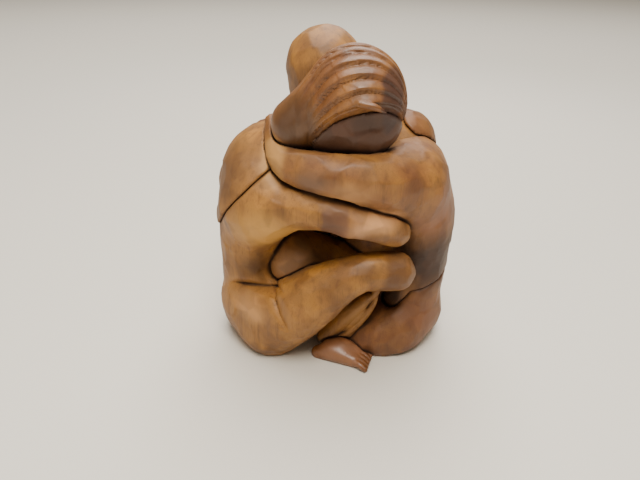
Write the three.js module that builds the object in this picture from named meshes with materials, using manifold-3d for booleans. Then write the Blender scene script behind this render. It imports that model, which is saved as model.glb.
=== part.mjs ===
// A carved hardwood sculpture of two seated figures in a close embrace, in millimetres, +Z up.
// It stands on the plane Z = 0, with +X towards the right-hand figure and -Y towards the viewer.
// The real carving is one block of wood. Each mesh here is one carved form, bounded by carved creases.
import * as THREE from 'three';
import { mergeVertices } from 'three/addons/utils/BufferGeometryUtils.js';
import Module from 'manifold-3d';

const wasm = await Module();
wasm.setup();

// driving dimensions, in mm
const creaseGap = 0.3; // clear space left between two neighbouring forms
const sides = 12; // facets round a limb
const stepsPerSpan = 2; // rings between two points of a limb's centre line
const capRings = 3; // rings in the rounded end of a limb
const hairThickness = 5; // how far the combed hair stands above the skull
const groundDepth = 200; // depth of the block that trims the underside flat
const groundWidth = 800;

// finishes
const sapwood = { color: 0xb9854f, roughness: 0.42, metalness: 0 };
const heartwood = { color: 0x8f5f40, roughness: 0.42, metalness: 0 };

// A centre line runs through points given as [x, y, z, radius].
// The back of the group repeats the front, turned half a turn about the Z axis.
const turned = (points) => points.map(([x, y, z, r]) => [-x, -y, z, r]);

// A limb is a capsule bent along a smooth centre line, its section stretched along X and Y by wide and deep.
function limb(points, { wide = 1, deep = 1 } = {}, grow = 0) {
  const curve = (list) => new THREE.CatmullRomCurve3(list, false, 'catmullrom', 0.5);
  const centreLine = curve(points.map(([x, y, z]) => new THREE.Vector3(x, y, z)));
  const girth = curve(points.map(([, , , r]) => new THREE.Vector3(r, 0, 0)));
  const steps = stepsPerSpan * (points.length - 1);
  const frames = [];
  let across = new THREE.Vector3(0.31, 0.87, 0.38);
  for (let i = 0; i <= steps; i++) {
    const along = centreLine.getTangent(i / steps);
    across = across.clone().addScaledVector(along, -across.dot(along)).normalize();
    frames.push({ along, across, other: new THREE.Vector3().crossVectors(across, along) });
  }
  const half = 1; // the capsule's straight part runs from -1 to 1 along Y, and its radius is 1
  const shape = new THREE.CapsuleGeometry(1, 2 * half, capRings, sides, steps);
  shape.deleteAttribute('normal');
  shape.deleteAttribute('uv');
  const place = shape.attributes.position;
  for (let i = 0; i < place.count; i++) {
    const [u, v, w] = [place.getX(i), place.getY(i), place.getZ(i)];
    const straight = THREE.MathUtils.clamp(v, -half, half);
    const t = (straight + half) / (2 * half);
    const { along, across: a, other: b } = frames[Math.round(t * steps)];
    const radius = girth.getPoint(t).x + grow;
    const out = new THREE.Vector3();
    out.addScaledVector(a, u * radius).addScaledVector(b, w * radius);
    out.addScaledVector(along, (v - straight) * radius);
    out.multiply(new THREE.Vector3(wide, deep, 1)).add(centreLine.getPoint(t));
    place.setXYZ(i, out.x, out.y, out.z);
  }
  return solid(shape);
}

function solid(geometry) {
  const merged = mergeVertices(geometry, 1e-4);
  return new wasm.Manifold(new wasm.Mesh({
    numProp: 3,
    vertProperties: new Float32Array(merged.attributes.position.array),
    triVerts: new Uint32Array(merged.index.array),
  }));
}

const ground = solid(bare(new THREE.BoxGeometry(groundWidth, groundWidth, groundDepth)
  .translate(0, 0, -groundDepth / 2)));

function bare(geometry) {
  geometry.deleteAttribute('normal');
  geometry.deleteAttribute('uv');
  return geometry;
}

function largest(form) {
  const bodies = form.decompose();
  return bodies.reduce((best, body) => (body.volume() > best.volume() ? body : best));
}

// centre lines of the left-hand figure
const leftSkull = [[0, -49, 318, 46], [16, -49, 326, 49]];
const leftNape = [[-46, -46, 298, 29], [-16, -48, 314, 38]];
const leftNeck = [[-72, -8, 244, 34], [-52, -30, 272, 27]];
const leftTorso = [[-103, -12, 40, 44], [-109, -14, 110, 38], [-100, -8, 168, 47], [-82, -2, 224, 56]];
const leftChest = [[-44, 24, 140, 40], [-40, 18, 215, 44]];
const leftNearArm = [[-88, -52, 202, 42], [-46, -76, 214, 27], [-13, -90, 214, 21], [15, -94, 208, 20],
  [46, -89, 197, 18], [67, -77, 185, 17]];
const leftHips = [[-82, -18, 30, 51], [-68, 20, 24, 52]];
const leftNearThigh = [[-79, -52, 30, 46], [-36, -80, 84, 39], [6, -88, 122, 27], [38, -88, 136, 23],
  [71, -82, 134, 23]];
const leftNearCalf = [[44, -67, 86, 8], [25, -63, 55, 15], [7, -61, 33, 14], [-10, -64, 16, 11]];
const leftNearFoot = [[-16, -81, 4, 10], [6, -87, 9, 13], [34, -97, 5, 9]];

// centre lines of the right-hand figure
const rightSkull = [[-18, 28, 345, 44.5], [-16, 32, 330, 44]];
const rightNape = [[-12, 32, 322, 41], [34, 36, 300, 42]];
const rightNeck = [[74, 8, 244, 36], [48, 26, 274, 30]];
const rightTorso = [[102, -10, 44, 43], [111, -10, 116, 37], [102, -6, 176, 47], [86, -2, 224, 50]];
const rightChest = [[42, 24, 140, 42], [40, 18, 215, 46]];
const rightNearArm = [[-75, -22, 293, 9], [-67, -50, 272, 14], [-52, -72, 261, 19], [-18, -89, 259, 22],
  [13, -92, 256, 25], [46, -80, 248, 32], [80, -48, 232, 42]];
const rightHips = [[94, -16, 30, 46], [90, 20, 24, 48]];
const rightNearThigh = [[66, 16, 52, 30], [20, -4, 86, 33], [-44, -28, 116, 37]];
const rightNearShin = [[84, -50, 26, 38], [56, -60, 16, 28], [25, -56, -2, 18]];

// what the back of the group adds: each figure's other arm and leg
const leftFarArm = [[-80, 54, 232, 42], [-46, 76, 246, 32], [-13, 86, 252, 26], [20, 84, 256, 26],
  [62, 62, 254, 36], [80, 32, 252, 43.5]];
const rightFarArm = [[88, 58, 196, 38], [44, 80, 200, 27], [0, 92, 200, 24], [-46, 84, 198, 25],
  [-92, 58, 198, 30], [-118, 14, 208, 30]];
const leftFarThigh = turned(rightNearThigh);
const leftFarShin = turned(rightNearShin);
const rightFarThigh = turned(leftNearThigh);
const rightFarCalf = turned(leftNearCalf);
const rightFarFoot = turned(leftNearFoot);

// the hair covers the skull above a slanting plane through hairEdge, which faces hairUp
const hairEdge = new THREE.Vector3(4, -101, 325);
const hairUp = new THREE.Vector3(-0.15, 0.68, 0.72);
const hairCut = (() => {
  const block = bare(new THREE.BoxGeometry(groundWidth, groundWidth, groundDepth));
  block.translate(0, 0, -groundDepth / 2);
  block.applyQuaternion(new THREE.Quaternion()
    .setFromUnitVectors(new THREE.Vector3(0, 0, 1), hairUp.clone().normalize()));
  block.translate(hairEdge.x, hairEdge.y, hairEdge.z);
  return solid(block);
})();
const hairCap = (grow) => limb(leftSkull, {}, hairThickness + grow).subtract(hairCut);

// Each form's name, finish and shape, nearest the surface first: a form is cut back by those above it.
const joined = (...lists) => (grow) => lists.map((list) => limb(list, {}, grow)).reduce((a, b) => a.add(b));
const stretched = (list, stretch) => (grow) => limb(list, stretch, grow);
const forms = [
  ['left_head', heartwood, joined(leftSkull)],
  ['left_hair', heartwood, hairCap],
  ['right_head', heartwood, joined(rightSkull, rightNape)],
  ['right_near_arm', heartwood, joined(rightNearArm)],
  ['left_nape', sapwood, joined(leftNape)],
  ['left_near_arm', sapwood, joined(leftNearArm)],
  ['left_far_arm', sapwood, joined(leftFarArm)],
  ['right_far_arm', heartwood, joined(rightFarArm)],
  ['left_near_foot', sapwood, joined(leftNearFoot)],
  ['right_far_foot', heartwood, joined(rightFarFoot)],
  ['left_near_thigh', sapwood, joined(leftNearThigh)],
  ['right_far_thigh', heartwood, joined(rightFarThigh)],
  ['left_near_calf', sapwood, joined(leftNearCalf)],
  ['right_far_calf', heartwood, joined(rightFarCalf)],
  ['right_near_shin', heartwood, joined(rightNearShin)],
  ['left_far_shin', sapwood, joined(leftFarShin)],
  ['left_hips', sapwood, stretched(leftHips, { wide: 1.26 })],
  ['right_hips', heartwood, stretched(rightHips, { wide: 1.15 })],
  ['left_torso', sapwood, stretched(leftTorso, { deep: 1.35 })],
  ['right_torso', heartwood, stretched(rightTorso, { deep: 1.35 })],
  ['right_near_thigh', heartwood, joined(rightNearThigh)],
  ['left_far_thigh', sapwood, joined(leftFarThigh)],
  ['left_neck', sapwood, joined(leftNeck)],
  ['right_neck', heartwood, joined(rightNeck)],
  ['left_chest', sapwood, joined(leftChest)],
  ['right_chest', heartwood, joined(rightChest)],
];

const couple = new THREE.Group();
let taken = null;
for (const [name, finish, shape] of forms) {
  let form = shape(0).subtract(ground);
  if (taken) form = form.subtract(taken);
  form = largest(form);
  const grown = shape(creaseGap);
  taken = taken ? taken.add(grown) : grown;
  const { vertProperties, triVerts } = form.getMesh();
  const geometry = new THREE.BufferGeometry();
  geometry.setAttribute('position', new THREE.BufferAttribute(vertProperties, 3));
  geometry.setIndex(new THREE.BufferAttribute(triVerts, 1));
  geometry.computeVertexNormals();
  const mesh = new THREE.Mesh(geometry, new THREE.MeshStandardMaterial(finish));
  mesh.name = name;
  couple.add(mesh);
}

export default couple;
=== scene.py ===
# Looks of the carved hardwood couple: each form is carved as a distance field in millimetres and meshed.
import bpy
import math
import numpy as np
from mathutils import Matrix, Vector


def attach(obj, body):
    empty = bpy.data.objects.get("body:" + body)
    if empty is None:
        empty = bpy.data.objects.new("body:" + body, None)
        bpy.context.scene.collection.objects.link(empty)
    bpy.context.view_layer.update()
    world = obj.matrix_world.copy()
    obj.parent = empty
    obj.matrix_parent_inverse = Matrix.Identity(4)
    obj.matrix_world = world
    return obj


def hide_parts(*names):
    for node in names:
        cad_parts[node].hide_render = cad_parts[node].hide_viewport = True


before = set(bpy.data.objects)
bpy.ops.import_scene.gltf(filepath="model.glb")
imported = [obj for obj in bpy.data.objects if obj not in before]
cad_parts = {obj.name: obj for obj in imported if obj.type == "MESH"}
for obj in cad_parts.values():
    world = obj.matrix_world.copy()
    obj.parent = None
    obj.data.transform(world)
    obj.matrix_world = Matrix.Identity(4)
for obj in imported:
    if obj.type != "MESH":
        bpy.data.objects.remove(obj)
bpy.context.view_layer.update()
mm = 0.001

carving = {
    "cellMm": 1.7,      # mesh spacing on the bodies
    "fineCellMm": 1.0,  # mesh spacing on the hair and the feet
    "bandCells": 4,                            # size of the coarse blocks searched first
    "bandShare": 0.95,                         # blocks nearer the surface than this are searched in full
    "bandSlackMm": 2.0,
    "edgeCells": 3,                            # empty cells left around a form
    "creaseGapMm": 0.5,                        # clear space down a carved crease
    "creaseSoftMm": 3.0,                       # how far the edges of a crease are eased
    "dirtAndShadeReachMm": (4.0, 11.0),               # how far out the room is tested, for old wax, dirt and painted shade in the creases
    "soleMm": 0.6,                             # points lower than this stay on the sawn underside
    "farMm": 24.0,                             # past this the distance to a limb's box is close enough
    "boxMarginMm": 4.0,                        # safe side of that box distance
    "openSideMm": 300,                         # half size of the box around a plane
}
knife = {
    "facetMm": 20.0,    # spacing of the flats the knife left
    "depth": 0.6,       # share of the full flat that sanding left
    "turnPull": 1.5,    # how strongly a change of facing starts a new flat
    "edgeShare": 0.3,   # how wide the rounded ridge between two flats is
    "leastAgree": 0.6,  # flats facing further away than this are left out
    "agreeRange": 0.3,  # over which they fade in
    "deepestMm": 2.5,   # most wood a flat takes off
    "seed": 11,
}


class Form:
    # a shape known by its distance, with the box it lies in
    def __init__(self, distance, low, high):
        self.distance = distance
        self.low = np.array(low, float)
        self.high = np.array(high, float)


def throughPoints(rows, stepsPerSpan):
    # smooth curve through given rows (x, y, z, radius)
    rows = np.array(rows, float)
    if len(rows) == 2:
        t = np.linspace(0, 1, stepsPerSpan + 1)[:, None]
        return rows[0] * (1 - t) + rows[1] * t
    padded = np.vstack([2 * rows[0] - rows[1], rows, 2 * rows[-1] - rows[-2]])
    made = []
    for i in range(1, len(padded) - 2):
        p0, p1, p2, p3 = padded[i - 1:i + 3]
        for t in np.arange(stepsPerSpan) / stepsPerSpan:
            made.append(0.5 * (2 * p1 + (p2 - p0) * t + (2 * p0 - 5 * p1 + 4 * p2 - p3) * t * t
                               + (3 * p1 - p0 - 3 * p2 + p3) * t ** 3))
    made.append(padded[-2])
    return np.array(made)


def limb(rows, wide=1.0, deep=1.0, stepsPerSpan=8):
    # a bent, tapering limb; wide and deep stretch its section along X and Y
    line = throughPoints(rows, stepsPerSpan)
    stretch = np.array([wide, deep, 1.0])
    middle = line[:, :3].mean(0)
    knots = (line[:, :3] - middle) / stretch + middle
    reach = line[:, 3:4] * stretch
    low, high = (line[:, :3] - reach).min(0), (line[:, :3] + reach).max(0)

    def distance(p):
        outside = np.maximum(np.maximum(low - p, p - high), 0)
        result = np.sqrt((outside ** 2).sum(1)) + carving["boxMarginMm"]
        close = np.where(result < carving["farMm"])[0]
        if len(close) == 0:
            return result
        q = (p[close] - middle) / stretch + middle
        x, y, z = q.T.astype(np.float32)
        best = np.full(len(q), 1e6, np.float32)
        for i in range(len(knots) - 1):
            (ax, ay, az), (dx, dy, dz) = knots[i].tolist(), (knots[i + 1] - knots[i]).tolist()
            size = max(dx * dx + dy * dy + dz * dz, 1e-9)
            ux, uy, uz = x - ax, y - ay, z - az
            t = np.clip((ux * dx + uy * dy + uz * dz) / size, 0, 1)
            ux -= t * dx
            uy -= t * dy
            uz -= t * dz
            thick, taper = float(line[i, 3]), float(line[i + 1, 3] - line[i, 3])
            gap = np.sqrt(ux * ux + uy * uy + uz * uz) - (thick + t * taper)
            np.minimum(best, gap, out=best)
        result[close] = best
        return result

    return Form(distance, low, high)


def fillet(first, second, soft):
    # how much a join between two distances is filled, largest where they are equal
    step = np.maximum(soft - np.abs(first - second), 0) / soft
    return step * step * soft / 4


def merge(soft, *forms):
    # joins forms with a fillet of about soft mm
    def distance(p):
        total = forms[0].distance(p)
        for form in forms[1:]:
            other = form.distance(p)
            total = np.minimum(total, other) - fillet(total, other, soft)
        return total

    return Form(distance, np.min([f.low for f in forms], 0) - soft / 2,
                np.max([f.high for f in forms], 0) + soft / 2)


def cut(form, *cutters, gap=None, soft=None):
    # cuts a form back from its neighbours, with an eased edge
    gap = carving["creaseGapMm"] if gap is None else gap
    soft = carving["creaseSoftMm"] if soft is None else soft

    def distance(p):
        total = form.distance(p)
        for cutter in cutters:
            other = gap - cutter.distance(p)
            total = np.maximum(total, other) + fillet(total, other, soft)
        return total

    return Form(distance, form.low, form.high)


def beyond(point, facing):
    # everything on the side of a plane that facing points to
    facing = np.array(facing, float) / np.linalg.norm(facing)
    wide = carving["openSideMm"]
    return Form(lambda p: -((p - np.array(point, float)) @ facing), [-wide] * 3, [wide] * 3)


def anyOf(*forms):
    # joins forms with a sharp edge
    return Form(lambda p: np.min([f.distance(p) for f in forms], 0),
                np.min([f.low for f in forms], 0), np.max([f.high for f in forms], 0))


def carvedLines(form, lines):
    # short creases cut with a knife: each lies where a plane meets the surface, and fades out at its ends
    def distance(p):
        total = form.distance(p)
        for centre, facing, reach, width, depth in lines:
            facing = np.array(facing, float) / np.linalg.norm(facing)
            away = p - np.array(centre, float)
            fade = np.clip(1.3 - 1.3 * (away ** 2).sum(1) / reach ** 2, 0, 1)
            total = total + depth * fade * np.clip(1 - np.abs(away @ facing) / width, 0, 1) ** 2
        return total

    return Form(distance, form.low, form.high)


def inBoth(soft, *forms):
    # what all the forms share, with an eased edge
    def distance(p):
        total = forms[0].distance(p)
        for form in forms[1:]:
            other = form.distance(p)
            total = np.maximum(total, other) + fillet(total, other, soft)
        return total

    return Form(distance, np.max([f.low for f in forms], 0), np.min([f.high for f in forms], 0))


def closeTo(form, other, gap):
    # whether two forms' boxes come within gap of each other
    return np.all(other.low < form.high + gap) and np.all(form.low < other.high + gap)


def turned(rows):
    # the same limb on the other side: the group repeats by half a turn about Z
    return [(-x, -y, z, r) for x, y, z, r in rows]


def meshForm(form, cell):
    # surface nets over a narrow band of cells, then each point is slid on to the true surface
    edge = carving["edgeCells"] * cell
    low = form.low - edge
    low[2] = max(low[2], -2 * cell)
    block = carving["bandCells"]
    blocks = np.ceil((form.high + edge - low) / (cell * block)).astype(int)
    count = blocks * block + 1
    coarseAxes = [low[a] + cell * block * (np.arange(blocks[a]) + 0.5) for a in range(3)]
    centres = np.stack(np.meshgrid(*coarseAxes, indexing="ij"), -1).reshape(-1, 3)

    def field(p):
        return np.maximum(form.distance(p), -p[:, 2])  # the underside is sawn flat at Z = 0

    coarse = field(centres)
    busy = np.abs(coarse) < cell * block * carving["bandShare"] + carving["bandSlackMm"]
    values = np.repeat(np.repeat(np.repeat(coarse.reshape(blocks), block, 0), block, 1), block, 2)
    values = np.pad(values, ((0, 1),) * 3, mode="edge")
    wanted = np.zeros(count, bool)
    places = np.argwhere(busy.reshape(blocks)) * block
    for di in range(block + 1):
        for dj in range(block + 1):
            for dk in range(block + 1):
                wanted[places[:, 0] + di, places[:, 1] + dj, places[:, 2] + dk] = True
    nodes = np.argwhere(wanted)
    values[wanted] = field(low + nodes * cell)
    inside = values < 0
    cells = tuple(count - 1)
    total = np.zeros(cells + (3,))
    hits = np.zeros(cells)
    quads = []
    for axis in range(3):
        a = [slice(None)] * 3
        b = [slice(None)] * 3
        a[axis], b[axis] = slice(0, -1), slice(1, None)
        crossing = np.argwhere(inside[tuple(a)] != inside[tuple(b)])
        after = crossing.copy()
        after[:, axis] += 1
        v0, v1 = values[tuple(crossing.T)], values[tuple(after.T)]
        point = crossing.astype(float)
        point[:, axis] += v0 / (v0 - v1)
        other = [i for i in range(3) if i != axis]
        corners = []
        for du, dv in ((0, 0), (-1, 0), (-1, -1), (0, -1)):
            at = crossing.copy()
            at[:, other[0]] += du
            at[:, other[1]] += dv
            corners.append(at)
            good = np.all((at >= 0) & (at < np.array(cells)), axis=1)
            np.add.at(total, tuple(at[good].T), point[good])
            np.add.at(hits, tuple(at[good].T), 1)
        stacked = np.stack(corners, 1)
        whole = np.all((stacked >= 0) & (stacked < np.array(cells)), axis=(1, 2))
        flip = inside[tuple(crossing.T)] if axis != 1 else ~inside[tuple(crossing.T)]
        stacked[~flip] = stacked[~flip][:, ::-1]
        quads.append(stacked[whole])
    used = hits > 0
    number = np.full(cells, -1)
    number[used] = np.arange(used.sum())
    points = low + cell * total[used] / hits[used][:, None]
    faces = np.concatenate([number[q[..., 0], q[..., 1], q[..., 2]] for q in quads])
    slope, level = slopeOf(field, points)
    points -= slope * np.clip(level, -cell, cell)[:, None]
    points -= slope * np.clip(field(points), -cell, cell)[:, None]
    return points, faces, slopeOf(field, points)[0]


def slopeOf(field, points, reach=0.35):
    # outward direction and value of the field at each point
    slope = np.empty_like(points)
    for axis in range(3):
        step = np.zeros(3)
        step[axis] = reach
        slope[:, axis] = field(points + step) - field(points - step)
    slope /= np.linalg.norm(slope, axis=1)[:, None] + 1e-9
    return slope, field(points)


def knifeFlats(points, normals, depth):
    # faint flats where the knife took off broad shavings: points slide towards a few tangent planes
    spacing, batch = knife["facetMm"], 4000
    rng = np.random.default_rng(knife["seed"])
    shuffled = rng.permutation(len(points))
    squares = np.floor(points[shuffled] / spacing + rng.random(3)).astype(int)
    kept = shuffled[np.unique(squares, axis=0, return_index=True)[1]]
    centres, facings = points[kept], normals[kept]
    moved = points.copy()
    for start in range(0, len(points), batch):
        part = slice(start, start + batch)
        here, facing = points[part], normals[part]
        away = here @ centres.T * -2 + (centres ** 2).sum(1) + (here ** 2).sum(1)[:, None]
        away = np.sqrt(np.maximum(away, 0))
        away += knife["turnPull"] * spacing * (1 - np.clip(facing @ facings.T, 0, 1))
        two = np.argpartition(away, 1, axis=1)[:, :2]
        gap = np.take_along_axis(away, two, 1)
        first = np.where(gap[:, 0] <= gap[:, 1], two[:, 0], two[:, 1])
        second = np.where(gap[:, 0] <= gap[:, 1], two[:, 1], two[:, 0])
        ridge = knife["edgeShare"] * spacing
        weight = 0.5 + 0.5 * np.minimum(np.abs(gap[:, 0] - gap[:, 1]) / ridge, 1)
        slide = np.zeros(len(here))
        for which, share in ((first, weight), (second, 1 - weight)):
            agree = np.einsum("ij,ij->i", facings[which], facing) - knife["leastAgree"]
            agree = np.clip(agree / knife["agreeRange"], 0, 1)
            slide -= share * agree * np.einsum("ij,ij->i", here - centres[which], facings[which])
        moved[part] += facing * (np.clip(slide, -knife["deepestMm"], knife["deepestMm"]) * depth)[:, None]
    return moved


def makePiece(name, form, around, piece, finish):
    # meshes one carved form, and hides the CAD nodes it stands for
    points, faces, normals = meshForm(form, carving[piece.get("mesh", "cellMm")])
    moved = knifeFlats(points, normals, knife["depth"] * piece.get("flats", 1.0))
    grounded = points[:, 2] < carving["soleMm"]
    moved[grounded] = points[grounded]
    moved[:, 2] = np.maximum(moved[:, 2], 0)
    mesh = bpy.data.meshes.new(name)
    mesh.from_pydata((moved * mm).tolist(), [], faces.tolist())
    mesh.validate()
    mesh.shade_smooth()
    # how deep in a crease each point lies: wax and dirt gather where the polishing cloth can't reach, and
    # the same value darkens the colour as painted shade
    shut = np.zeros(len(points))
    for reach in carving["dirtAndShadeReachMm"]:
        out = points + normals * reach
        room = form.distance(out)
        for other in around:
            room = np.minimum(room, other.distance(out))
        shut += np.clip(1 - room / reach, 0, 1) / len(carving["dirtAndShadeReachMm"])
    for label, values in (("crease", shut), ("heartAndShade", piece["heartAndShade"]), ("polish", piece.get("polish", 0.3))):
        layer = mesh.attributes.new(label, "FLOAT", "POINT")
        layer.data.foreach_set("value", np.zeros(len(points)) + values)
    mesh.materials.append(finish)
    made = bpy.data.objects.new(name, mesh)
    bpy.context.collection.objects.link(made)
    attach(made, "root")
    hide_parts(*piece["nodes"])
    print(f"carved {name}: {len(points)} points")


joins = {   # how softly forms run into each other, fillet in mm
    "leftArm": 22, "leftLeg": 14, "rightTrunk": 20, "rightArm": 24, "rightLeg": 16, "waistEdge": 7,
    "shawl": 10, "shawlEdge": 4, "openingEdge": 3.0, "kneeHollow": 16, "kneeHollowEdge": 6.0,
    "calf": 1.5, "foot": 8, "toes": 1.6, "nape": 9, "flick": 3, "bareHead": 14, "jaw": 12, "underHair": 16.0,
}
# the two figures: each limb is a row of places x, y, z with the radius there, in mm
leftFigure = {
    "skull": [(10, -49, 322, 46), (16, -49, 326, 49)],
    "jaw": [(-8, -50, 306, 39), (22, -52, 306, 42)],
    "nape": [(-46, -46, 298, 29), (-16, -48, 314, 38)],
    "neck": [(-72, -8, 244, 34), (-52, -30, 272, 27)],
    "torso": [(-103, -12, 40, 44), (-109, -14, 110, 38), (-100, -8, 168, 47), (-82, -2, 224, 56)],
    "chest": [(-44, 24, 140, 40), (-40, 18, 215, 44)],
    "nearArm": [(-88, -52, 202, 42), (-46, -76, 214, 27), (-13, -90, 214, 21), (15, -94, 208, 20),
                (46, -89, 197, 18), (67, -77, 185, 17)],
    "hips": [(-82, -18, 30, 51), (-68, 20, 24, 52)],
    "hipFold": [(-112, -38, 58, 34), (-88, -54, 66, 36)],
    "nearThigh": [(-79, -52, 30, 46), (-36, -80, 84, 39), (6, -88, 122, 27), (38, -88, 136, 23),
                  (71, -82, 134, 23)],
    "nearCalf": [(44, -68, 84, 6), (25, -62, 55, 14), (7, -61, 33, 13), (-10, -64, 16, 10)],
    "nearShin": [(55, -64, 96, 6), (45, -65, 64, 6.5), (31, -65, 39, 7), (17, -67, 22, 8), (4, -71, 10, 9)],
    "nearFoot": [(-18, -82, 4, 9), (4, -88, 8, 12), (28, -98, 5, 9)],
    "nearInstep": [(-2, -80, 10, 12), (14, -80, 13, 11), (31, -84, 7, 9)],
}
rightFigure = {
    "skull": [(-18, 28, 345, 44.5), (-16, 32, 330, 44)],
    "nape": [(-12, 32, 322, 41), (34, 36, 300, 42)],
    "neck": [(74, 8, 244, 36), (48, 26, 274, 30)],
    "torso": [(102, -10, 44, 43), (111, -10, 116, 37), (102, -6, 176, 47), (86, -2, 224, 50)],
    "chest": [(42, 24, 140, 42), (40, 18, 215, 46)],
    "nearArm": [(-75, -22, 293, 9), (-67, -50, 272, 14), (-52, -72, 261, 19), (-18, -89, 259, 22),
                (13, -92, 256, 25), (46, -80, 248, 32), (80, -48, 232, 42)],
    "hips": [(94, -16, 30, 46), (90, 20, 24, 48)],
    "nearThigh": [(66, 16, 52, 30), (20, -4, 86, 33), (-46, -33, 118, 39)],
    "nearShin": [(84, -50, 26, 38), (56, -60, 16, 28), (25, -56, -2, 18)],
    "farArm": [(88, 58, 196, 38), (44, 80, 200, 27), (0, 92, 200, 24), (-46, 84, 198, 25),
               (-92, 58, 198, 30), (-118, 14, 208, 30)],
}
leftFigure["farArm"] = [(-80, 54, 232, 42), (-46, 76, 246, 32), (-13, 86, 252, 26), (20, 84, 256, 26),
                        (62, 62, 254, 36), (80, 32, 252, 43.5)]
stretched = {   # sections that are wider or deeper than round
    "leftTorso": {"deep": 1.35},
    "rightTorso": {"deep": 1.35},
    "leftHips": {"wide": 1.26},
    "rightHips": {"wide": 1.15},
}

forms = {}
for side, figure in (("left", leftFigure), ("right", rightFigure)):
    for part, rows in figure.items():
        name = side + part[0].upper() + part[1:]
        forms[name] = limb(rows, **stretched.get(name, {}))
for part in ("nearThigh", "nearCalf", "nearShin", "nearFoot", "nearInstep"):
    forms["rightFar" + part[4:]] = limb(turned(leftFigure[part]))
forms["leftFarThigh"] = limb(turned(rightFigure["nearThigh"]))
forms["leftFarShin"] = limb(turned(rightFigure["nearShin"]))

calfLine = ((29, -75, 57), (-0.71, 0.48, 0.51), 60, 6, 3.0)   # centre, facing, reach, half width, depth
calfForms = {}
for side, flip in (("leftNear", 1), ("rightFar", -1)):
    (x, y, z), (facingX, facingY, facingZ), *size = calfLine
    line = ((x * flip, y * flip, z), (facingX * flip, facingY * flip, facingZ), *size)
    calfForms[side] = carvedLines(merge(joins["calf"], forms[side + "Calf"], forms[side + "Shin"]), [line])

toes = {
    "roots": ((38, -80, 9), (29, -104, 7)),   # first and last toe, where they leave the foot
    "tips": ((50, -88, 5), (41, -112, 4)),
    "radius": (3.6, 4.6),
    "archMm": 1.2,                            # how far each toe is bent up in the middle
    "taper": (0.95, 0.85),                    # at the middle and at the tip
    "count": 5,
}


def footWithToes(side, flip):
    # the toes fan out from the ball of the foot, with a cut between each two
    parts = []
    for i in range(toes["count"]):
        share = i / (toes["count"] - 1)
        root = np.array(toes["roots"][0]) * (1 - share) + np.array(toes["roots"][1]) * share
        tip = np.array(toes["tips"][0]) * (1 - share) + np.array(toes["tips"][1]) * share
        radius = toes["radius"][0] * (1 - share) + toes["radius"][1] * share
        bend = (root + tip) / 2 + (0, 0, toes["archMm"])
        middleTaper, tipTaper = toes["taper"]
        rows = [(*root, radius), (*bend, radius * middleTaper), (*tip, radius * tipTaper)]
        parts.append(limb(turned(rows) if flip else rows))
    ball = merge(joins["foot"], forms[side + "Foot"], forms[side + "Instep"])
    return merge(joins["toes"], ball, *parts)


def grown(form, by):
    # the same form, thicker all over
    return Form(lambda p: form.distance(p) - by, form.low - by, form.high + by)


# the right-hand figure's far hand lies flat over the other's back, like a shawl, down to a slanting edge
shawl = {
    "edgeStart": (-106, -63, 220),
    "edgeFacing": (-0.68, 0.31, 0.66),
    "lowest": 165,
    "thickMm": 2.5,
}
# the gap between the left-hand figure's arm and thigh, cut in along the slope of the knife
opening = anyOf(limb([(-43, -14, 110, 29), (-42, -75, 145, 30)]),
                limb([(-55, -20, 88, 16), (-55, -75, 122, 18)]))

leftArmSide = merge(joins["leftArm"], forms["leftTorso"], forms["leftChest"], forms["leftNearArm"],
                    forms["leftNeck"])
leftLegSide = merge(joins["leftLeg"], forms["leftTorso"], forms["leftHips"], forms["leftHipFold"],
                    forms["leftNearThigh"])
leftCreases = [   # centre, facing, reach, half width, depth: the waist, then the fold of the hip
    ((-92, -70, 99), (0.06, 0.45, 1.0), 48, 11, 6.5),
    ((-69, -98, 92), (1.0, 0.15, 0.42), 36, 11, 6.5),
]
leftOpened = cut(anyOf(leftArmSide, leftLegSide), opening, gap=0.0, soft=joins["openingEdge"])
leftBodyForm = carvedLines(anyOf(leftOpened, forms["leftNearArm"], forms["leftNearThigh"]), leftCreases)

backBand = inBoth(joins["shawlEdge"], grown(leftArmSide, shawl["thickMm"]),
                  beyond(shawl["edgeStart"], shawl["edgeFacing"]),
                  beyond((0, 0, shawl["lowest"]), (0, 0, 1)))
rightFarArmForm = merge(joins["shawl"], forms["rightFarArm"], backBand)

waist = {"point": (95, -59, 88), "facing": (-0.42, 0.0, 1)}   # the right-hand figure's waist crease
rightTrunk = merge(joins["rightTrunk"], forms["rightTorso"], forms["rightHips"])
rightLegForm = inBoth(joins["waistEdge"], merge(joins["rightLeg"], rightTrunk, forms["rightNearShin"]),
                      beyond(waist["point"], tuple(-f for f in waist["facing"])))
kneeHollow = merge(joins["kneeHollow"], limb([(77, -36, 60, 11), (69, -84, 93, 13)]),
                   limb([(90, -36, 76, 8), (83, -84, 106, 9)]))
rightLegForm = cut(rightLegForm, kneeHollow, gap=0.0, soft=joins["kneeHollowEdge"])
rightArmSide = merge(joins["rightArm"], forms["rightTorso"], forms["rightChest"], forms["rightNearArm"])
rightBodyForm = anyOf(rightArmSide, inBoth(joins["waistEdge"], rightTrunk,
                                           beyond(waist["point"], waist["facing"])))
print(f"two figures laid out from {len(forms)} limbs")

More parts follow.
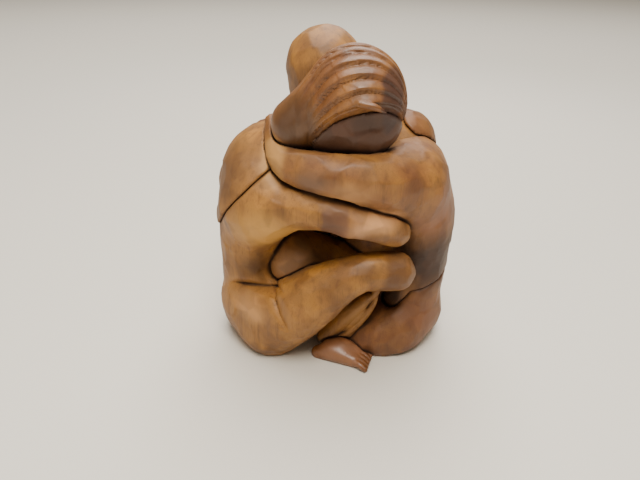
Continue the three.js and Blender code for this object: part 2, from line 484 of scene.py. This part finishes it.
hair = {
    "leftEnd": (-30, -70, 287),      # where the strands gather, by the neck
    "rightEnd": (62, -66, 309),      # where they end, by the far temple
    "hairlinePoint": (4, -101, 327),
    "strandDegrees": 11.5,
    "strands": 10,
    "liftMm": 3.6,                   # the hair's thickness at the bottom of each step
    "stepMm": 5.0,                   # how far each strand stands over the one below
    "riseShare": 0.12,               # share of a strand taken by its steep front edge
    "flatten": 0.9,                  # how much of the step is gone at the back of a strand
    "endFade": 1.35,                 # where the steps start to fade, in half lengths
    "middleShiftMm": 4,              # the steps are tallest a little to the neck side
    "topFade": 3,                    # strands over which the steps die out at the crown
    "flick": [(16, -104, 336, 3.6), (30, -106, 334, 3.4), (41, -106, 329, 0.8)],
    "neckFolds": [((-47, -74, 306), (1.0, 0.1, 0.0), 30, 8, 1.2),
                  ((-33, -80, 302), (1.0, 0.3, 0.1), 30, 7, 1.8)],
}


def combedHair(skull, nape):
    # strands combed round the skull, fanned from an axis by the face: each stands over the one below it
    start, end = np.array(hair["leftEnd"], float), np.array(hair["rightEnd"], float)
    along = (end - start) / np.linalg.norm(end - start)
    middle = (start + end) / 2
    outward = np.array(hair["hairlinePoint"], float) - middle
    outward -= along * (outward @ along)
    outward /= np.linalg.norm(outward)
    upward = np.cross(outward, along)
    upward = upward if upward[2] > 0 else -upward
    half = np.linalg.norm(end - start) / 2
    step = math.radians(hair["strandDegrees"])

    def distance(p):
        q = p - middle
        u, v, w = q @ outward, q @ upward, q @ along
        strand = np.clip(np.arctan2(v, u) / step, 0, hair["strands"])
        share = strand - np.floor(strand)
        lip = np.minimum(share / hair["riseShare"], 1) ** 0.5 * (1 - hair["flatten"] * share ** 1.5)
        fade = np.clip(hair["endFade"] - np.abs(w + hair["middleShiftMm"]) / half, 0, 1) ** 0.5
        fade *= np.clip((hair["strands"] - strand) / hair["topFade"], 0, 1)
        cap = skull.distance(p) - hair["liftMm"] - hair["stepMm"] * lip * fade
        return np.maximum(cap, -v * 0.97)  # cut off along the hairline

    cap = Form(distance, skull.low - 8, skull.high + 8)
    folded = carvedLines(merge(joins["nape"], cap, nape), hair["neckFolds"])
    return merge(joins["flick"], folded, limb(hair["flick"]))


hairForm = combedHair(forms["leftSkull"], forms["leftNape"])
# the face is bowed and in shadow: one smooth form, hollowed under the lip of the hair
faceHollow = limb([(4, -108, 304, 8), (28, -110, 310, 14), (54, -98, 308, 8)])
faceForm = cut(merge(joins["jaw"], forms["leftSkull"], forms["leftJaw"]), faceHollow, gap=0.0,
               soft=joins["underHair"])
bareHeadForm = merge(joins["bareHead"], forms["rightSkull"], forms["rightNape"], forms["rightNeck"])
print(f"hair combed in {hair['strands']} strands")


def linearColour(code):
    # sRGB hex to linear
    parts = [int(code[i:i + 2], 16) / 255 for i in (1, 3, 5)]
    return [c / 12.92 if c <= 0.04045 else ((c + 0.055) / 1.055) ** 2.4 for c in parts] + [1]


def addNode(tree, kind, at, inputs=None, **settings):
    # adds one node: settings are its properties, inputs are plain values or other nodes' outputs
    node = tree.nodes.new(kind)
    node.location = at
    for key, value in settings.items():
        setattr(node, key, value)
    for socket, value in (inputs or {}).items():
        if isinstance(value, bpy.types.NodeSocket):
            tree.links.new(value, node.inputs[socket])
        else:
            node.inputs[socket].default_value = value
    return node.outputs


wood = {
    "pale": "#9A692B",          # sapwood, orange tan under old wax
    "mid": "#7A5022",
    "red": "#6A3E20",           # heartwood
    "dark": "#442716",
    "creaseTint": "#28170D",    # old wax and dirt, and painted shade in the creases
    "marks": (                  # name, size across and up the log in mm, detail, distortion
        ("warp", 42, 60, 3, 0.0), ("mottle", 34.0, 51.0, 4, 0.4),
        ("pores", 0.9, 22.0, 5, 0.0),    # real pores are 0.2 mm across: drawn coarser so that they show
        ("streaks", 7.0, 120.0, 4, 0.6), ("scratches", 2.2, 8.0, 3, 0.0), ("grime", 11, 11, 4, 0.0)),
    "layers": (                 # mark, where it starts, where it is full, strength, colour
        ("mottle", 0.38, 0.66, 1.0, "mid"), ("rednessAndShade", 0.75, 1.35, 0.85, "red"),
        # the darkest layer is reached mostly on the face: there it is darker heartwood and painted shade
        # under the hair
        ("rednessAndShade", 1.6, 2.4, 0.9, "dark"), ("streaks", 0.5, 0.74, 0.38, "dark"),
        ("pores", 0.5, 0.74, 0.4, "dark")),
    "warpMm": 34,               # how far the edges of the stains wander
    "rednessSpread": 1.1,       # how patchy the heartwood is
    "patchReach": 1.15,         # where a patch starts, as a share of its reach
    "flatMm": 20.0,
    "flatTone": (0.84, 1.16),   # darkest and palest flats
    "creaseDirtAndShade": (0.5, 1.2, 0.82),   # where dirt and painted shade in a crease start, where they are full, strength
    "dirtAndShadePatchy": 0.35,
    "roughness": (0.56, 0.36),  # least and most polished places
    "creaseDull": 0.3,
    "mottleDull": 0.12,
    "coat": 0.25,               # thin wax on the most polished places
    "coatRoughness": 0.25,
    "ior": 1.5,
    "swellMm": 1.0,             # slow swell of the surface, then the finer relief
    "relief": (("pores", -0.10), ("scratches", 0.10), ("grime", 0.25)),
    "reliefStrength": 0.6,
    "stainsAndPaintedLight": [                 # darker or paler patches, real stains and some painted light and shade: place and reach in mm, colour, strength, hardness
        ((-2, -92, 206), (17, 40, 28), "#61402D", 0.9, 0.9),
        ((20, -92, 206), (20, 40, 24), "#855B40", 0.6, 0.5),
        # painted light: a pale patch lifting the shade that the arm above casts on the left forearm
        ((40, -90, 208), (34, 40, 20), "#D29C6C", 0.9, 0.3),
        ((40, -92, 186), (36, 40, 12), "#6E482A", 0.7, 0.2),
        ((-26, -112, 254), (24, 40, 20), "#6E5039", 0.75, 0.5),
        ((10, -112, 246), (34, 40, 22), "#AE7D4A", 0.7, 0.3),
        # darker heartwood, and painted shade in the hollow above the left figure's waist
        ((-98, -66, 122), (40, 34, 24), "#442A14", 0.8, 0.1),
        ((-98, -78, 74), (38, 34, 22), "#B98650", 0.8, 0.3),
        ((-82, -88, 186), (50, 44, 38), "#BB893F", 0.9, 0.3),
        ((50, -92, 336), (13, 34, 40), "#3E2620", 0.8, 0.8),
        ((-50, -74, 306), (38, 40, 42), "#4C3016", 0.85, 0.3),
        ((116, -50, 204), (38, 50, 46), "#8E5E42", 0.7, 0.3),
        # darker heartwood, and painted shade down the lower right side of the right figure
        ((112, -46, 134), (48, 50, 60), "#32190A", 0.95, 0.4),
        ((112, -60, 56), (40, 40, 34), "#6C432B", 0.6, 0.3),
        ((66, -88, 136), (28, 40, 26), "#4E301A", 0.8, 0.3),
        ((24, -76, 58), (24, 30, 26), "#AD7B3F", 0.7, 0.4),
        ((-45, -62, 134), (34, 30, 28), "#7A5530", 0.75, 0.3),
        ((12, -92, 12), (36, 34, 24), "#956748", 0.7, 0.4),
        ((-72, -70, 262), (24, 30, 24), "#B5864B", 0.8, 0.6),
        # painted shade down the outer side of the left figure, turned from the light
        ((-118, -40, 238), (42, 60, 42), "#5A3B1F", 0.8, 0.3),
        # painted shade in the hollow between the left knee and the right figure's thigh
        ((74, -42, 78), (22, 26, 22), "#28170D", 0.85, 0.4),
        # painted shadow under the tip of the left figure's hand, against the right figure's body
        ((54, -60, 168), (50, 26, 16), "#2A180E", 0.7, 0.3),
    ],
}


def waxedHardwood():
    # close-grained tropical hardwood, carved, sanded and waxed: soft satin shine, faint long grain up the
    # log, orange sapwood on one side running into redder heartwood, darker old wax in patches and creases,
    # with painted light and shade in some patches, on the face and in the creases
    material = bpy.data.materials.new("hardwood_carved_and_waxed")
    material.use_nodes = True
    tree = material.node_tree
    shader = tree.nodes["Principled BSDF"]
    place = addNode(tree, "ShaderNodeTexCoord", (-2400, 0))["Object"]
    place = addNode(tree, "ShaderNodeVectorMath", (-2200, 0), {0: place, "Scale": 1 / mm},
                    operation="SCALE")[0]
    heartAndShade = addNode(tree, "ShaderNodeAttribute", (-2200, 500), attribute_name="heartAndShade")["Fac"]
    crease = addNode(tree, "ShaderNodeAttribute", (-2200, -500), attribute_name="crease")["Fac"]
    polish = addNode(tree, "ShaderNodeAttribute", (-2200, -700), attribute_name="polish")["Fac"]

    # one noise field for each scale of mark
    marks = {}
    for row, (name, across, upward, detail, twist) in enumerate(wood["marks"]):
        scale = (1 / across, 1 / across, 1 / upward)
        grid = addNode(tree, "ShaderNodeMapping", (-1900, 300 - row * 300),
                       {"Vector": place, "Scale": scale})[0]
        marks[name] = addNode(tree, "ShaderNodeTexNoise", (-1700, 300 - row * 300),
                              {"Vector": grid, "Scale": 1.0, "Detail": detail, "Distortion": twist})["Fac"]

    # the colour, each layer laid over the one before
    warped = addNode(tree, "ShaderNodeVectorMath", (-1500, 600), {0: marks["warp"], 1: (0.5, 0.5, 0.5)},
                     operation="SUBTRACT")[0]
    warped = addNode(tree, "ShaderNodeVectorMath", (-1350, 600), {0: warped, "Scale": wood["warpMm"]},
                     operation="SCALE")[0]
    warped = addNode(tree, "ShaderNodeVectorMath", (-1200, 600), {0: warped, 1: place}, operation="ADD")[0]
    marks["rednessAndShade"] = addNode(tree, "ShaderNodeMath", (-1500, 900),
                               {0: marks["warp"], 1: wood["rednessSpread"], 2: heartAndShade},
                               operation="MULTIPLY_ADD")[0]
    colour = linearColour(wood["pale"])
    for row, (mark, low, high, strength, tint) in enumerate(wood["layers"]):
        amount = addNode(tree, "ShaderNodeMapRange", (-1000, 900 - row * 250),
                         {"Value": marks[mark], "From Min": low, "From Max": high, "To Max": strength},
                         interpolation_type="SMOOTHSTEP")[0]
        colour = addNode(tree, "ShaderNodeMix", (-800, 900 - row * 250),
                         {0: amount, 6: colour, 7: linearColour(wood[tint])}, data_type="RGBA")[2]
    # lay the patches: real stains, and painted light and shade where marked in the list
    for row, (centre, reach, tint, strength, hardness) in enumerate(wood["stainsAndPaintedLight"]):
        away = addNode(tree, "ShaderNodeVectorMath", (-600, 900 - row * 200), {0: warped, 1: centre},
                       operation="SUBTRACT")[0]
        away = addNode(tree, "ShaderNodeVectorMath", (-450, 900 - row * 200), {0: away, 1: reach},
                       operation="DIVIDE")[0]
        away = addNode(tree, "ShaderNodeVectorMath", (-300, 900 - row * 200), {0: away},
                       operation="LENGTH")["Value"]
        amount = addNode(tree, "ShaderNodeMapRange", (-150, 900 - row * 200),
                         {"Value": away, "From Min": wood["patchReach"], "From Max": hardness,
                          "To Max": strength}, interpolation_type="SMOOTHSTEP")[0]
        colour = addNode(tree, "ShaderNodeMix", (0, 900 - row * 200),
                         {0: amount, 6: colour, 7: linearColour(tint)}, data_type="RGBA")[2]

    # painted light: patches the size of the knife's flats, each painted a little paler or darker at random,
    # as flats facing the light differently look
    grid = addNode(tree, "ShaderNodeMapping", (-1900, 1200),
                   {"Vector": place, "Scale": [1 / wood["flatMm"]] * 3})[0]
    flats = addNode(tree, "ShaderNodeTexVoronoi", (-1700, 1200),
                    {"Vector": grid, "Scale": 1.0, "Smoothness": 0.25}, feature="SMOOTH_F1")["Color"]
    tone = addNode(tree, "ShaderNodeSeparateColor", (-1500, 1200), {"Color": flats})[0]
    darkest, palest = wood["flatTone"]
    tone = addNode(tree, "ShaderNodeMapRange", (-1300, 1200),
                   {"Value": tone, "To Min": darkest, "To Max": palest})[0]
    colour = addNode(tree, "ShaderNodeVectorMath", (200, 600), {0: colour, "Scale": tone},
                     operation="SCALE")[0]
    # old wax and dirt, and painted shade, darken the creases, made patchy by the grime
    creaseDirtAndShade = addNode(tree, "ShaderNodeMath", (200, 200), {0: marks["grime"], 1: wood["dirtAndShadePatchy"], 2: crease},
                   operation="MULTIPLY_ADD")[0]
    low, high, strength = wood["creaseDirtAndShade"]
    amount = addNode(tree, "ShaderNodeMapRange", (400, 200),
                     {"Value": creaseDirtAndShade, "From Min": low, "From Max": high, "To Max": strength},
                     interpolation_type="SMOOTHSTEP")[0]
    colour = addNode(tree, "ShaderNodeMix", (600, 400),
                     {0: amount, 6: colour, 7: linearColour(wood["creaseTint"])}, data_type="RGBA")[2]
    tree.links.new(colour, shader.inputs["Base Color"])

    # shine: hands and cloths polish the raised places most
    dull, shiny = wood["roughness"]
    rough = addNode(tree, "ShaderNodeMapRange", (400, -200),
                    {"Value": polish, "To Min": dull, "To Max": shiny})[0]
    dulled = ((crease, wood["creaseDull"]), (marks["mottle"], wood["mottleDull"]))
    for row, (mark, amount) in enumerate(dulled):
        rough = addNode(tree, "ShaderNodeMath", (600 + row * 200, -200), {0: mark, 1: amount, 2: rough},
                        operation="MULTIPLY_ADD")[0]
    tree.links.new(rough, shader.inputs["Roughness"])
    coat = addNode(tree, "ShaderNodeMath", (600, -400), {0: polish, 1: wood["coat"]},
                   operation="MULTIPLY")[0]
    tree.links.new(coat, shader.inputs["Coat Weight"])
    shader.inputs["Coat Roughness"].default_value = wood["coatRoughness"]
    shader.inputs["IOR"].default_value = wood["ior"]

    # relief: open pores, sanding scratches and a slow swell, heights in mm
    height = addNode(tree, "ShaderNodeMath", (200, -600), {0: marks["mottle"], 1: wood["swellMm"]},
                     operation="MULTIPLY")[0]
    for row, (name, depth) in enumerate(wood["relief"]):
        height = addNode(tree, "ShaderNodeMath", (400 + row * 150, -600),
                         {0: marks[name], 1: depth, 2: height}, operation="MULTIPLY_ADD")[0]
    bump = addNode(tree, "ShaderNodeBump", (900, -600),
                   {"Height": height, "Strength": wood["reliefStrength"], "Distance": mm})[0]
    tree.links.new(bump, shader.inputs["Normal"])
    return material


hardwood = waxedHardwood()
print("wood made")

# the pieces, nearest the surface first: heart is how much of the redder heartwood a piece shows, and on the
# face also painted shade, polish how much it is rubbed, flats how faceted it is
pieces = {
    "carved_left_hair": {"form": hairForm, "nodes": ("left_hair", "left_nape"), "slot": "heartwood",
                         "mesh": "fineCellMm", "heartAndShade": 0.6, "polish": 0.8, "flats": 0.15},
    # the face's high heart value paints it dark: darker heartwood and painted shade under the lip of the
    # hair
    "carved_left_face": {"form": faceForm, "nodes": ("left_head",), "slot": "heartwood", "heartAndShade": 2.0,
                         "polish": 0.5},
    "carved_right_head": {"form": bareHeadForm, "nodes": ("right_head", "right_neck"), "slot": "heartwood",
                          "heartAndShade": 0.15},
    "carved_right_leg": {"form": rightLegForm, "nodes": ("right_hips", "right_near_shin"),
                         "slot": "heartwood", "heartAndShade": 0.6},
    "carved_right_body": {"form": rightBodyForm, "nodes": ("right_torso", "right_chest", "right_near_arm"),
                          "slot": "heartwood", "heartAndShade": 0.5},
    "carved_left_far_arm": {"form": forms["leftFarArm"], "nodes": ("left_far_arm",), "slot": "sapwood",
                            "heartAndShade": 0.6},
    "carved_right_far_arm": {"form": rightFarArmForm, "nodes": ("right_far_arm",), "slot": "heartwood",
                             "heartAndShade": 0.25, "polish": 0.1},
    "carved_left_body": {"form": leftBodyForm, "slot": "sapwood", "heartAndShade": 0.1,
                         "nodes": ("left_torso", "left_chest", "left_near_arm", "left_neck", "left_hips",
                                   "left_near_thigh")},
    "carved_left_foot": {"form": footWithToes("leftNear", False), "nodes": ("left_near_foot",),
                         "slot": "sapwood", "mesh": "fineCellMm", "heartAndShade": 0.95, "polish": 1.0,
                         "flats": 0.1},
    "carved_right_far_foot": {"form": footWithToes("rightFar", True), "nodes": ("right_far_foot",),
                              "slot": "heartwood", "mesh": "fineCellMm", "heartAndShade": 0.95, "polish": 1.0,
                              "flats": 0.1},
    "carved_left_calf": {"form": calfForms["leftNear"], "slot": "sapwood",
                         "nodes": ("left_near_calf",), "heartAndShade": 0.2, "flats": 0.4},
    "carved_right_far_thigh": {"form": forms["rightFarThigh"], "nodes": ("right_far_thigh",),
                               "slot": "heartwood", "heartAndShade": 0.6},
    "carved_right_far_calf": {"form": calfForms["rightFar"],
                              "slot": "heartwood", "nodes": ("right_far_calf",), "heartAndShade": 0.6, "flats": 0.4},
    "carved_left_far_shin": {"form": forms["leftFarShin"], "nodes": ("left_far_shin",), "slot": "sapwood",
                             "heartAndShade": 0.3},
    "carved_right_near_thigh": {"form": forms["rightNearThigh"], "nodes": ("right_near_thigh",),
                                "slot": "heartwood", "heartAndShade": 0.4},
    "carved_left_far_thigh": {"form": forms["leftFarThigh"], "nodes": ("left_far_thigh",), "slot": "sapwood",
                              "heartAndShade": 0.3},
}
nearMm = (4, 8)   # forms this close are cut back from each other, and shade each other's creases
cutters = []
for name, piece in pieces.items():
    form = piece["form"]
    touching = [other for other in cutters if closeTo(form, other, nearMm[0])]
    around = [other["form"] for label, other in pieces.items()
              if label != name and closeTo(form, other["form"], nearMm[1])]
    makePiece(name, cut(form, *touching) if touching else form, around, piece, hardwood)
    cutters.append(form)

floorLook = {
    "colour": "#DAD5CB",
    "roughness": 0.75,
    "size": 30.0,
    "grainMm": 4.0,
    "relief": 0.1,
    "below": 0.0002,   # set just under the carving
}


def paleFloor():
    # matt painted board: soft shadow, no shine, the faintest roller texture
    material = bpy.data.materials.new("board_rolled_with_matt_paint")
    material.use_nodes = True
    tree = material.node_tree
    shader = tree.nodes["Principled BSDF"]
    shader.inputs["Base Color"].default_value = linearColour(floorLook["colour"])
    shader.inputs["Roughness"].default_value = floorLook["roughness"]
    place = addNode(tree, "ShaderNodeTexCoord", (-800, -300))["Object"]
    texture = addNode(tree, "ShaderNodeTexNoise", (-600, -300),
                      {"Vector": place, "Scale": 1000 / floorLook["grainMm"], "Detail": 3})["Fac"]
    bump = addNode(tree, "ShaderNodeBump", (-300, -300),
                   {"Height": texture, "Strength": floorLook["relief"], "Distance": mm})[0]
    tree.links.new(bump, shader.inputs["Normal"])
    bpy.ops.mesh.primitive_plane_add(size=floorLook["size"])
    floor = bpy.context.object
    floor.name = "floor"
    floor.location.z = -floorLook["below"]
    floor.data.materials.append(material)


lights = {   # place and aim in metres, size in metres, watts, colour
    "key": ((0.05, -0.65, 1.5), (0, 0, 0.2), 0.7, 24, (1.0, 0.94, 0.84)),
    "fill": ((-1.3, -0.8, 0.8), (0, 0, 0.2), 1.2, 3, (1.0, 0.96, 0.9)),
    "back": ((0.3, 1.3, 1.2), (0, 0, 0.25), 1.0, 8, (1.0, 0.97, 0.93)),
    "overhead": ((0, 2.0, 5.0), (0, 1.5, 0), 5.0, 420, (1.0, 0.97, 0.92)),
}
for name, (spot, aim, size, watts, tint) in lights.items():
    data = bpy.data.lights.new(name, "AREA")
    data.shape = "DISK"
    data.size = size
    data.energy = watts
    data.color = tint
    lamp = bpy.data.objects.new(name, data)
    lamp.location = spot
    lamp.rotation_euler = (Vector(aim) - Vector(spot)).to_track_quat("-Z", "Y").to_euler()
    bpy.context.collection.objects.link(lamp)

paleFloor()
room = {"colour": "#E8DBC6", "strength": 0.35}
world = bpy.data.worlds.new("room")
world.use_nodes = True
world.node_tree.nodes["Background"].inputs["Color"].default_value = linearColour(room["colour"])
world.node_tree.nodes["Background"].inputs["Strength"].default_value = room["strength"]
bpy.context.scene.world = world

view = {
    "place": (-0.019, -0.579, 0.461),
    "pitchDown": 30.0,
    "roll": 1.22,
    "lens": 28.125,
    "sensor": 36.0,
}
camera = bpy.data.objects.new("camera", bpy.data.cameras.new("camera"))
camera.data.lens = view["lens"]
camera.data.sensor_width = view["sensor"]
camera.data.clip_start = 0.01
tilt = Matrix.Rotation(math.radians(90 - view["pitchDown"]), 4, "X")
roll = Matrix.Rotation(math.radians(view["roll"]), 4, "Z")
camera.matrix_world = Matrix.Translation(view["place"]) @ tilt @ roll
bpy.context.collection.objects.link(camera)
bpy.context.scene.camera = camera
print("floor, lights and camera set")
